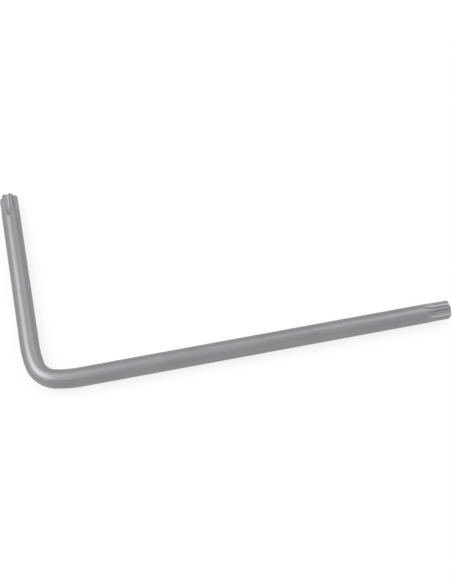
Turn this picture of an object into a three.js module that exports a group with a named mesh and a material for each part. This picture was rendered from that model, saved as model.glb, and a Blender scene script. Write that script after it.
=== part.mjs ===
// Star wrench: an L-shaped key bent from one round steel bar, with a six-lobe star tip cut on each end.
// Sizes are in millimetres. The key lies flat on z = 0 with +Z up, its long arm along +X and its
// short arm along +Y, and the origin is under the middle of the rectangle that it covers.
import * as THREE from "three";
import { LoftGeometry } from "three/addons/geometries/LoftGeometry.js";

const { degToRad, euclideanModulo, clamp } = THREE.MathUtils;

// The bar and its two arms, each measured from the outside of the bend to the end face
const BAR_DIAMETER = 5.6;
const LONG_ARM_LENGTH = 125;
const SHORT_ARM_LENGTH = 70;

// The bend, on the bar's centreline: a tight arc round the former, with a gentle lead on either side
const BEND_RADIUS = 7.1;
const LEAD_RADIUS = 33.5;
const LEAD_DEGREES = 12;
const BEND_THINNING = 0.28; // thickness that the bar loses, in the plane of the bend, at its middle

// The star tips: flutes cut into the bar, which leave round lobes between them
const LOBE_COUNT = 6;
const LOBE_RADIUS = 0.45;
const FLUTE_DEPTH = 0.825;
const LONG_TIP_FLUTE_LENGTH = 3.9; // from the end face to where the cutter starts to lift out
const SHORT_TIP_FLUTE_LENGTH = 4.7;
const CUTTER_RADIUS = 10; // of the disc that cut the flutes, which their run-outs follow
const END_CHAMFER = 0.4; // turned at 45 degrees on the lobes

// How far a lobe is turned from straight up, towards the outside of the bend
const LONG_TIP_ROLL_DEGREES = 15;
const SHORT_TIP_ROLL_DEGREES = -22;

// Facets
const POINTS_AROUND = 72;
const LEAD_STEPS = 3;
const BEND_STEPS = 15;
const RUN_OUT_STEPS = 8;
const CHAMFER_STEPS = 4;

const SQUARE = Math.PI / 2;
const barRadius = BAR_DIAMETER / 2;
const longReach = LONG_ARM_LENGTH - barRadius; // from the corner where the two arms' axes cross
const shortReach = SHORT_ARM_LENGTH - barRadius;
const longTip = { fluteLength: LONG_TIP_FLUTE_LENGTH, roll: degToRad(LONG_TIP_ROLL_DEGREES) };
const shortTip = { fluteLength: SHORT_TIP_FLUTE_LENGTH, roll: degToRad(SHORT_TIP_ROLL_DEGREES) };

// The star's outline is made of lobe arcs and flute arcs that run smoothly into each other. Their
// centres stand on axes half a lobe's pitch apart, which sets the radius of the flute arcs.
const halfPitch = Math.PI / LOBE_COUNT;
const floorRadius = barRadius - FLUTE_DEPTH;
const lobeCentre = barRadius - LOBE_RADIUS;
const lobeAlongFlute = lobeCentre * Math.cos(halfPitch);
const fluteRadius =
  (LOBE_RADIUS ** 2 - lobeCentre ** 2 - floorRadius ** 2 + 2 * floorRadius * lobeAlongFlute) /
  (2 * (floorRadius - lobeAlongFlute - LOBE_RADIUS));

// The length over which the cutter's disc lifts out of the bar
const runOutLength = Math.sqrt(2 * CUTTER_RADIUS * FLUTE_DEPTH - FLUTE_DEPTH ** 2);

// Radius of a fluted section at an angle from the middle of its nearest flute, with the cutter
// lifted by some height. As it lifts, the lobe arcs move apart and leave the bar's own round.
function flutedRadius(angle, lift) {
  const fluteCentre = floorRadius + fluteRadius + lift;
  const centreGap = fluteRadius + LOBE_RADIUS;
  const lobeCosine = (lobeCentre ** 2 + fluteCentre ** 2 - centreGap ** 2) / (2 * lobeCentre * fluteCentre);
  const lobeAngle = Math.acos(Math.min(lobeCosine, 1));
  if (angle >= lobeAngle) return barRadius;

  const share = fluteRadius / centreGap;
  const joinAlong = fluteCentre + share * (lobeCentre * Math.cos(lobeAngle) - fluteCentre);
  const joinAcross = share * lobeCentre * Math.sin(lobeAngle);
  if (angle > Math.atan2(joinAcross, joinAlong)) {
    const fromLobe = lobeAngle - angle;
    const across = lobeCentre * Math.sin(fromLobe);
    return lobeCentre * Math.cos(fromLobe) + Math.sqrt(LOBE_RADIUS ** 2 - across ** 2);
  }
  const across = fluteCentre * Math.sin(angle);
  return fluteCentre * Math.cos(angle) - Math.sqrt(fluteRadius ** 2 - across ** 2);
}

// Radius of a star tip at an angle from straight up and a distance from its end face
function tipRadius(tip, angle, fromEnd) {
  const fromLobe = euclideanModulo(angle - tip.roll, 2 * halfPitch);
  const fromFlute = Math.abs(fromLobe - halfPitch);
  const intoRunOut = clamp(fromEnd - tip.fluteLength, 0, runOutLength);
  const lift = CUTTER_RADIUS - Math.sqrt(CUTTER_RADIUS ** 2 - intoRunOut ** 2);
  const chamferRadius = barRadius - END_CHAMFER + fromEnd;
  return Math.min(flutedRadius(fromFlute, lift), chamferRadius);
}

// Distances from the end face at which a tip has a section
function tipDistances(tip) {
  const spread = (start, length, steps) =>
    Array.from({ length: steps + 1 }, (_, step) => start + (length * step) / steps);
  return [...spread(0, END_CHAMFER, CHAMFER_STEPS), ...spread(tip.fluteLength, runOutLength, RUN_OUT_STEPS)];
}

// A section square to the bar. The heading turns from 0, down the short arm, to 90 degrees, out along
// the long arm. Angles round the section run from straight up towards the outside of the bend.
function section(x, y, heading, radiusAt, inPlane = 1) {
  const up = new THREE.Vector3(0, 0, 1);
  const outward = new THREE.Vector3(-Math.cos(heading), -Math.sin(heading), 0);
  return Array.from({ length: POINTS_AROUND }, (_, point) => {
    const angle = (2 * Math.PI * point) / POINTS_AROUND;
    const radius = radiusAt(angle);
    return new THREE.Vector3(x, y, 0)
      .addScaledVector(up, radius * Math.cos(angle))
      .addScaledVector(outward, radius * Math.sin(angle) * inPlane);
  });
}

// The short arm's tip, from its end face towards the bend
function shortTipSections() {
  return tipDistances(shortTip).map((fromEnd) =>
    section(0, shortReach - fromEnd, 0, (angle) => tipRadius(shortTip, angle, fromEnd)),
  );
}

// The long arm's tip, from the bend's side to its end face
function longTipSections() {
  const inwards = tipDistances(longTip).map((fromEnd) =>
    section(longReach - fromEnd, 0, SQUARE, (angle) => tipRadius(longTip, angle, fromEnd)),
  );
  return inwards.reverse();
}

// The bend, from the end of the short arm's straight to the start of the long arm's
function bendSections() {
  const leadAngle = degToRad(LEAD_DEGREES);
  const lead = { radius: LEAD_RADIUS, angle: leadAngle, steps: LEAD_STEPS };
  const tight = { radius: BEND_RADIUS, angle: SQUARE - 2 * leadAngle, steps: BEND_STEPS };
  const setback =
    LEAD_RADIUS * (1 - Math.cos(leadAngle) + Math.sin(leadAngle)) +
    BEND_RADIUS * (Math.cos(leadAngle) - Math.sin(leadAngle));

  let [x, y, heading] = [0, setback, 0];
  const thinnedSection = () => {
    const inPlane = 1 - (BEND_THINNING / BAR_DIAMETER) * Math.sin(2 * heading);
    return section(x, y, heading, () => barRadius, inPlane);
  };
  const sections = [thinnedSection()];
  for (const { radius, angle, steps } of [lead, tight, lead]) {
    for (let step = 0; step < steps; step++) {
      const next = heading + angle / steps;
      x += radius * (Math.cos(heading) - Math.cos(next));
      y -= radius * (Math.sin(next) - Math.sin(heading));
      heading = next;
      sections.push(thinnedSection());
    }
  }
  return sections;
}

const barSections = [...shortTipSections(), ...bendSections(), ...longTipSections()];
const barGeometry = new LoftGeometry(barSections, { capStart: true, capEnd: true });
const satinSteel = new THREE.MeshStandardMaterial({ color: 0x8e9090, metalness: 1, roughness: 0.45 });
const wrenchBar = new THREE.Mesh(barGeometry, satinSteel);
wrenchBar.name = "wrench_bar";
wrenchBar.position.set(barRadius - LONG_ARM_LENGTH / 2, barRadius - SHORT_ARM_LENGTH / 2, barRadius);

const starWrench = new THREE.Group();
starWrench.name = "star_wrench";
starWrench.add(wrenchBar);

export default starWrench;
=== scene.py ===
import math

import bmesh
import bpy
from mathutils import Matrix, Vector


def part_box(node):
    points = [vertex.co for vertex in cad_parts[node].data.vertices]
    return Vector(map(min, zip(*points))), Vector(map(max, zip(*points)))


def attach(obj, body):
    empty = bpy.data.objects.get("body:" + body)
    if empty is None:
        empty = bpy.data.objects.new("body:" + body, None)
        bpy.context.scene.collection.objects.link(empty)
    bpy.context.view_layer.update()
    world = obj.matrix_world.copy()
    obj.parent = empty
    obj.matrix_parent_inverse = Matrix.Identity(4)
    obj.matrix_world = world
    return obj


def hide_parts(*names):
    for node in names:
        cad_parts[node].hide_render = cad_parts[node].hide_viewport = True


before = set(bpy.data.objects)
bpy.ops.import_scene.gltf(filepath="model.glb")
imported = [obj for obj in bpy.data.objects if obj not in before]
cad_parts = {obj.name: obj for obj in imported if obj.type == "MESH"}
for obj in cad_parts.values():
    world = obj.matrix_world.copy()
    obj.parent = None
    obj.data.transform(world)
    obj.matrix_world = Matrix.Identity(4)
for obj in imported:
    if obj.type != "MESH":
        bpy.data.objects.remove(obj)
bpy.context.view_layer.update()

# Wrench bar: the whole tool is one round bar of tool steel, drawn to size. Six flutes are milled into each
# end, which leaves a star, the bar is bent cold to an L, and then it is blasted and plated. It lies flat on
# both arms, with nothing fixed to it. The mesh is made in the same order: straight, fluted and then bent.
MM = 0.001
bar_low, bar_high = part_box("wrench_bar")
bar_radius = (bar_high.z - bar_low.z) / 2
short_arm_x = bar_low.x + bar_radius
long_arm_y = bar_low.y + bar_radius
bar_z = bar_low.z + bar_radius

# The bend, on the bar's centreline: a tight arc round the former, with a gentle lead on either side
bend_radius = 7.1 * MM
lead_radius = 33.5 * MM
lead_turn = math.radians(12)
tight_turn = math.radians(90) - 2 * lead_turn
turn_step = math.radians(2)  # from ring to ring of the mesh
bend_thinning = 0.28 * MM  # thickness that the bar loses, in the plane of the bend, at its middle
setback = lead_radius * (1 - math.cos(lead_turn) + math.sin(lead_turn))
setback += bend_radius * (math.cos(lead_turn) - math.sin(lead_turn))

# Distances along the straight bar, from the short arm's end face
bend_start = bar_high.y - long_arm_y - setback
bend_steps = []
distance = bend_start
heading = 0.0
for radius, turn in ((lead_radius, lead_turn), (bend_radius, tight_turn), (lead_radius, lead_turn)):
    step_count = round(turn / turn_step)
    for _ in range(step_count):
        bend_steps.append((distance, heading, radius, turn / step_count))
        distance += radius * turn / step_count
        heading += turn / step_count
bend_end = distance
bar_length = bend_end + bar_high.x - short_arm_x - setback

# The star tips. A lobe's roll is its angle from straight up, towards the outside of the bend.
lobe_count = 6
lobe_radius = 0.45 * MM
flute_depth = 0.825 * MM
cutter_radius = 10 * MM  # of the disc that cut the flutes, which their run-outs follow
run_out_length = math.sqrt(2 * cutter_radius * flute_depth - flute_depth**2)
end_chamfer = 0.4 * MM
chamfer_blend = 0.1 * MM  # over which the tumbled edges of the chamfer are rounded
edge_break = 0.06 * MM  # radius left on the rim of the end face
short_tip = {"flute_length": 4.7 * MM, "roll": math.radians(-22)}
long_tip = {"flute_length": 3.9 * MM, "roll": math.radians(15)}

# A star's outline is lobe arcs and flute arcs that run smoothly into each other. Their centres stand
# on axes half a lobe's pitch apart, which sets the radius of the flute arcs.
half_pitch = math.pi / lobe_count
floor_radius = bar_radius - flute_depth
lobe_centre = bar_radius - lobe_radius
lobe_along_flute = lobe_centre * math.cos(half_pitch)
flute_radius = lobe_radius**2 - lobe_centre**2 - floor_radius**2 + 2 * floor_radius * lobe_along_flute
flute_radius /= 2 * (floor_radius - lobe_along_flute - lobe_radius)


def fluted_radius(angle, lift):
    """Radius at an angle from the middle of the nearest flute, with the cutter lifted by some height."""
    flute_centre = floor_radius + flute_radius + lift
    centre_gap = flute_radius + lobe_radius
    lobe_cosine = (lobe_centre**2 + flute_centre**2 - centre_gap**2) / (2 * lobe_centre * flute_centre)
    lobe_angle = math.acos(min(lobe_cosine, 1))
    if angle >= lobe_angle:
        return bar_radius
    share = flute_radius / centre_gap
    join_along = flute_centre + share * (lobe_centre * math.cos(lobe_angle) - flute_centre)
    join_across = share * lobe_centre * math.sin(lobe_angle)
    if angle > math.atan2(join_across, join_along):
        across = lobe_centre * math.sin(lobe_angle - angle)
        return lobe_centre * math.cos(lobe_angle - angle) + math.sqrt(lobe_radius**2 - across**2)
    across = flute_centre * math.sin(angle)
    return flute_centre * math.cos(angle) - math.sqrt(flute_radius**2 - across**2)


def tip_radius(tip, angle, from_end):
    """Radius of a star tip at an angle from straight up and a distance from its end face."""
    from_flute = abs((angle - tip["roll"]) % (2 * half_pitch) - half_pitch)
    into_run_out = min(max(from_end - tip["flute_length"], 0), run_out_length)
    lift = cutter_radius - math.sqrt(cutter_radius**2 - into_run_out**2)
    star = fluted_radius(from_flute, lift)
    cone = bar_radius - end_chamfer + from_end
    overlap = max(chamfer_blend - abs(star - cone), 0) / chamfer_blend
    chamfer_edge_loss = overlap**2 * chamfer_blend / 4
    into_rim = max(edge_break - from_end, 0)
    rim_loss = edge_break - math.sqrt(edge_break**2 - into_rim**2)
    return min(star, cone) - chamfer_edge_loss - rim_loss


# Longest steps from ring to ring of the mesh, as fine as each stretch of the bar needs
rim_step = 0.02 * MM
chamfer_step = 0.06 * MM
flute_step = 2 * MM
run_out_step = 0.125 * MM
arm_step = 5 * MM
tip_margin = 0.5 * MM  # of plain bar past a run-out, with rings as close as the run-out's


def spread(start, end, longest_step):
    """Even steps from start up to end, without end itself."""
    count = math.ceil((end - start) / longest_step)
    return [start + (end - start) * step / count for step in range(count)]


def tip_rings(tip):
    """Distances from the end face of the rings that a tip's shape needs, with plain bar just past it."""
    chamfer_end = end_chamfer + chamfer_blend
    flutes_end = tip["flute_length"] + run_out_length
    rings = spread(0, edge_break, rim_step)
    rings += spread(edge_break, chamfer_end, chamfer_step)
    rings += spread(chamfer_end, tip["flute_length"], flute_step)
    rings += spread(tip["flute_length"], flutes_end, run_out_step)
    return rings + spread(flutes_end, flutes_end + tip_margin, run_out_step)


short_rings = tip_rings(short_tip)
long_rings = [bar_length - from_end for from_end in reversed(tip_rings(long_tip))]
ring_distances = short_rings + spread(short_rings[-1], bend_start, arm_step)[1:]
ring_distances += [distance for distance, *_ in bend_steps]
ring_distances += spread(bend_end, long_rings[0], arm_step) + long_rings

# The straight bar starts as a circle at the short arm's end face and is drawn down along -Y.
points_around = 216
same_place = 0.001 * MM  # rings this near to each other are one ring
bar = bmesh.new()
along = bar.verts.layers.float.new("along")
upright = Matrix.Rotation(math.radians(90), 4, "X")
start_place = Matrix.Translation((short_arm_x, bar_high.y, bar_z)) @ upright
bmesh.ops.create_circle(bar, segments=points_around, radius=bar_radius, matrix=start_place)
ring_edges = bar.edges[:]
end_loops = [ring_edges]
for last, distance in zip(ring_distances, ring_distances[1:]):
    drawn = bmesh.ops.extrude_edge_only(bar, edges=ring_edges)["geom"]
    ring = [item for item in drawn if isinstance(item, bmesh.types.BMVert)]
    ring_edges = [item for item in drawn if isinstance(item, bmesh.types.BMEdge)]
    bmesh.ops.translate(bar, vec=(0, last - distance, 0), verts=ring)
    for vert in ring:
        vert[along] = distance
end_loops.append(ring_edges)

# The flutes and chamfers are cut, and three layers keep what the finish needs of the straight bar: each
# point's place in it, how deep the point was cut, and whether it is on an end face.
stock = bar.verts.layers.float_vector.new("stock")
milled = bar.verts.layers.float.new("milled")
faced = bar.verts.layers.float.new("faced")
for vert in bar.verts:
    from_short_end = vert[along]
    from_long_end = bar_length - vert[along]
    tip = short_tip if from_short_end < from_long_end else long_tip
    from_end = max(min(from_short_end, from_long_end), 0)
    angle = math.atan2(short_arm_x - vert.co.x, vert.co.z - bar_z)
    radius = tip_radius(tip, angle, from_end)
    vert.co.x = short_arm_x - radius * math.sin(angle)
    vert.co.z = bar_z + radius * math.cos(angle)
    vert[stock] = Vector((short_arm_x - vert.co.x, vert.co.z - bar_z, vert[along]))
    vert[milled] = (bar_radius - radius) / flute_depth
    vert[faced] = 1.0 if from_end < same_place else 0.0
for loop in end_loops:
    bmesh.ops.edgeloop_fill(bar, edges=loop)

# The bender swings all that lies past each step round the former, from the last step to the first. The
# bar gets thinner in the plane of the bend, most at its middle, and a layer marks its outside for painted
# light.
# Painted light: this layer makes the outside of the bend lighter in the finish, as a painted highlight.
bend_painted_light = bar.verts.layers.float.new("bend_painted_light")
to_axis = Matrix.Translation((-short_arm_x, 0, 0))
for distance, heading, radius, turn in reversed(bend_steps):
    past = [vert for vert in bar.verts if vert[along] > distance + same_place]
    here = [vert for vert in bar.verts if abs(vert[along] - distance) < same_place]
    bend_share = math.sin(2 * heading)
    for vert in here:
        vert[bend_painted_light] = bend_share * (1 + vert[stock].x / bar_radius) / 2
    in_plane = 1 - bend_share * bend_thinning / (2 * bar_radius)
    bmesh.ops.scale(bar, vec=(in_plane, 1, 1), space=to_axis, verts=here)
    bmesh.ops.translate(bar, vec=(0, radius * turn, 0), verts=past)
    former = (short_arm_x + radius, bar_high.y - distance, bar_z)
    bmesh.ops.rotate(bar, cent=former, matrix=Matrix.Rotation(turn, 3, "Z"), verts=past)

# All faces but the two end faces have four corners, and belong to the smooth skin of the bar.
bmesh.ops.recalc_face_normals(bar, faces=bar.faces)
for face in bar.faces:
    face.smooth = len(face.verts) == 4
bar_mesh = bpy.data.meshes.new("bent_star_bar")
bar.to_mesh(bar_mesh)
bar.free()
bar_piece = bpy.data.objects.new("bent_star_bar", bar_mesh)
bpy.context.collection.objects.link(bar_piece)


def linear(colour):
    """Linear RGBA of an sRGB hex value."""
    channels = [(colour >> shift & 255) / 255 for shift in (16, 8, 0)]
    return [c / 12.92 if c <= 0.04045 else ((c + 0.055) / 1.055) ** 2.4 for c in channels] + [1.0]


def add_node(tree, kind, settings, inputs):
    """Adds a node, sets its properties, and sets each input to a value or links it to a socket."""
    node = tree.nodes.new(kind)
    for name, value in settings.items():
        setattr(node, name, value)
    for name, value in inputs.items():
        if isinstance(value, bpy.types.NodeSocket):
            tree.links.new(value, node.inputs[name])
        else:
            node.inputs[name].default_value = value
    return node


def layer_sum(tree, start, layers):
    """A start value plus each layer times its share."""
    total = start
    for layer, share in layers:
        total = add_node(
            tree, "ShaderNodeMath", {"operation": "MULTIPLY_ADD"}, {0: layer, 1: share, 2: total}
        ).outputs[0]
    return total


# Satin-plated steel: the bar was drawn, bent, blasted and then plated. The blasting scatters light, so the
# lamps show as soft bands along the arms, and the lines of the drawing die still show through faintly.
steel = bpy.data.materials.new("satin_plated_steel")
steel.use_nodes = True
steel_tree = steel.node_tree
steel_shader = steel_tree.nodes["Principled BSDF"]
steel_shader.inputs["Metallic"].default_value = 1.0
mesh_layers = {
    name: add_node(steel_tree, "ShaderNodeAttribute", {"attribute_name": name}, {}).outputs
    for name in ("stock", "milled", "faced", "bend_painted_light")
}
stock_place = mesh_layers["stock"]["Vector"]
milled_share = mesh_layers["milled"]["Fac"]
faced_share = mesh_layers["faced"]["Fac"]
bend_painted_light_share = mesh_layers["bend_painted_light"]["Fac"]

# Blasted pits are about 0.05 mm wide. They are drawn five times as wide, and deeper to match, so that they
# show. The lines of the drawing die, far longer than they are wide, are drawn coarser for the same reason.
pit_width = 0.25 * MM
pit_depth = 0.008 * MM
pits = add_node(
    steel_tree,
    "ShaderNodeTexNoise",
    {},
    {"Vector": stock_place, "Scale": 1 / pit_width, "Detail": 2.0, "Roughness": 0.6},
).outputs["Fac"]
line_gap = 0.4 * MM
line_length = 25 * MM
line_depth = 0.005 * MM
line_place = add_node(
    steel_tree,
    "ShaderNodeMapping",
    {},
    {"Vector": stock_place, "Scale": (1 / line_gap, 1 / line_gap, 1 / line_length)},
).outputs["Vector"]
lines = add_node(
    steel_tree, "ShaderNodeTexNoise", {}, {"Vector": line_place, "Scale": 1.0, "Detail": 2.0}
).outputs["Fac"]

# The plating is a little lighter in some places than in others.
patch_width = 9 * MM
patches = add_node(
    steel_tree, "ShaderNodeTexNoise", {}, {"Vector": stock_place, "Scale": 1 / patch_width, "Detail": 3.0}
).outputs["Fac"]

# The flutes keep the cutter's feed marks across them, and the end faces the rings of the cut-off tool. Both
# are wave textures, and one of scale 1 repeats every tenth of pi.
wave_repeat = math.pi / 10
mark_gap = 0.25 * MM
mark_depth = 0.0045 * MM
feed_waves = add_node(
    steel_tree,
    "ShaderNodeTexWave",
    {"wave_type": "BANDS", "bands_direction": "Z"},
    {"Vector": stock_place, "Scale": wave_repeat / mark_gap, "Distortion": 1.5, "Detail": 1.0},
).outputs["Fac"]
feed_marks = add_node(
    steel_tree, "ShaderNodeMath", {"operation": "MULTIPLY"}, {0: feed_waves, 1: milled_share}
).outputs[0]
ring_gap = 0.2 * MM
ring_depth = 0.006 * MM
ring_waves = add_node(
    steel_tree,
    "ShaderNodeTexWave",
    {"wave_type": "RINGS", "rings_direction": "Z"},
    {"Vector": stock_place, "Scale": wave_repeat / ring_gap, "Distortion": 0.5, "Detail": 1.0},
).outputs["Fac"]
face_rings = add_node(
    steel_tree, "ShaderNodeMath", {"operation": "MULTIPLY"}, {0: ring_waves, 1: faced_share}
).outputs[0]

# Each layer adds its depth to the height of the surface, in metres.
depths = ((pits, pit_depth), (lines, line_depth), (feed_marks, mark_depth), (face_rings, ring_depth))
height = layer_sum(steel_tree, 0.0, depths)
bump = add_node(steel_tree, "ShaderNodeBump", {}, {"Strength": 1.0, "Distance": 1.0, "Height": height})
steel_tree.links.new(bump.outputs["Normal"], steel_shader.inputs["Normal"])

# The plating is dark in the bottom of pits and lines and light on the rubbed metal between them. It is
# lighter where the tools worked the steel: in the flutes and on the rings of the end faces. The outside of
# the bend is painted lighter, a painted highlight for light falling on it from the front left. A colour mix
# takes its two colours at inputs 6 and 7 and gives the result at output 2.
dark_plating = linear(0x6C6E6E)
light_plating = linear(0xAAABAC)
tone_shares = (
    (patches, 0.25),
    (pits, 0.4),
    (lines, 0.3),
    (face_rings, 0.12),
    (milled_share, 0.12),
    # painted highlight on the outside of the bend
    (bend_painted_light_share, 0.13),
)
lightness = layer_sum(steel_tree, 0.0, tone_shares)
tone = add_node(
    steel_tree,
    "ShaderNodeMix",
    {"data_type": "RGBA"},
    {0: lightness, 6: dark_plating, 7: light_plating},
).outputs[2]
steel_tree.links.new(tone, steel_shader.inputs["Base Color"])

# The plating levels out in the bottom of pits and lines, so the grain between them scatters more light.
# The flutes are smoother than the rest of the bar, because the blasting reached them less.
base_roughness = 0.34
roughness_shares = ((pits, 0.12), (lines, 0.06), (milled_share, -0.06))
roughness = layer_sum(steel_tree, base_roughness, roughness_shares)
steel_tree.links.new(roughness, steel_shader.inputs["Roughness"])
bar_mesh.materials.append(steel)

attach(bar_piece, "root")
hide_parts("wrench_bar")

# Floor: one plain sheet of white card, as in a photo studio, far larger than the tool. It lies level, and
# the tool lies loose on it.
floor_size = 4.0
floor_build = bmesh.new()
bmesh.ops.create_grid(floor_build, x_segments=1, y_segments=1, size=floor_size / 2)
floor_mesh = bpy.data.meshes.new("floor")
floor_build.to_mesh(floor_mesh)
floor_build.free()
floor = bpy.data.objects.new("floor", floor_mesh)
bpy.context.collection.objects.link(floor)

# White card: it scatters light evenly. Most of its white is a glow that only the camera, reflections and
# glass see, so the card is white all over and the tool's shadow on it stays faint.
glow_share = 0.8
card = bpy.data.materials.new("white_card")
card.use_nodes = True
card_tree = card.node_tree
card_shader = card_tree.nodes["Principled BSDF"]
card_shader.inputs["Base Color"].default_value = linear(0xE6E6E6)
card_shader.inputs["Roughness"].default_value = 1.0
card_shader.inputs["Specular IOR Level"].default_value = 0.0
rays = add_node(card_tree, "ShaderNodeLightPath", {}, {}).outputs
sees_glow = rays["Is Camera Ray"]
for ray in ("Is Glossy Ray", "Is Transmission Ray"):
    sees_glow = add_node(
        card_tree, "ShaderNodeMath", {"operation": "MAXIMUM"}, {0: sees_glow, 1: rays[ray]}
    ).outputs[0]
glow_part = add_node(
    card_tree, "ShaderNodeMath", {"operation": "MULTIPLY"}, {0: sees_glow, 1: glow_share}
).outputs[0]
glow = add_node(card_tree, "ShaderNodeEmission", {}, {"Color": linear(0xFFFFFF), "Strength": 1.0})
card_mix = add_node(
    card_tree, "ShaderNodeMixShader", {}, {0: glow_part, 1: card_shader.outputs[0], 2: glow.outputs[0]}
)
card_tree.links.new(card_mix.outputs[0], card_tree.nodes["Material Output"].inputs["Surface"])
floor_mesh.materials.append(card)

# Studio light: an even pale surround, a wide soft box high on the left and a smaller, weaker one high on
# the right. The boxes hang at one distance from the tool and face it, and draw soft light bands along it.
world = bpy.data.worlds.new("pale_surround")
world.use_nodes = True
world.node_tree.nodes["Background"].inputs["Color"].default_value = linear(0xF8F8F8)
bpy.context.scene.world = world
box_distance = 0.7


def toward(azimuth, elevation):
    """The direction at an azimuth round from +X and an elevation, both in degrees."""
    flat = math.cos(math.radians(elevation))
    turn = math.radians(azimuth)
    return Vector((flat * math.cos(turn), flat * math.sin(turn), math.sin(math.radians(elevation))))


def strip_box(name, direction, width, height, power):
    """A soft lamp, wider than it is high, that shines at the tool from a direction."""
    lamp = bpy.data.lights.new(name, "AREA")
    lamp.shape = "RECTANGLE"
    lamp.size = width
    lamp.size_y = height
    lamp.energy = power
    lamp_object = bpy.data.objects.new(name, lamp)
    lamp_object.location = direction * box_distance
    lamp_object.rotation_euler = direction.to_track_quat("Z", "Y").to_euler()
    bpy.context.collection.objects.link(lamp_object)


strip_box("left_strip", toward(azimuth=170, elevation=52), width=0.8, height=0.45, power=2.8)
strip_box("right_strip", toward(azimuth=29, elevation=56), width=0.4, height=0.22, power=0.62)

# Camera: above the tool and a little to its left, as the photo was taken. Its direction, distance and lens
# were found by fitting the outline of the tool, with its perspective, to the photo's.
aim = Vector((-0.42, -12.83, 2.8)) * MM
camera_distance = 362.0 * MM
back = toward(azimuth=-101.88, elevation=58.05)
camera_data = bpy.data.cameras.new("camera")
camera_data.lens = 75.14
camera = bpy.data.objects.new("camera", camera_data)
camera.location = aim + back * camera_distance
camera.rotation_euler = back.to_track_quat("Z", "Y").to_euler()
bpy.context.collection.objects.link(camera)
bpy.context.scene.camera = camera
bpy.context.scene.view_settings.view_transform = "Standard"
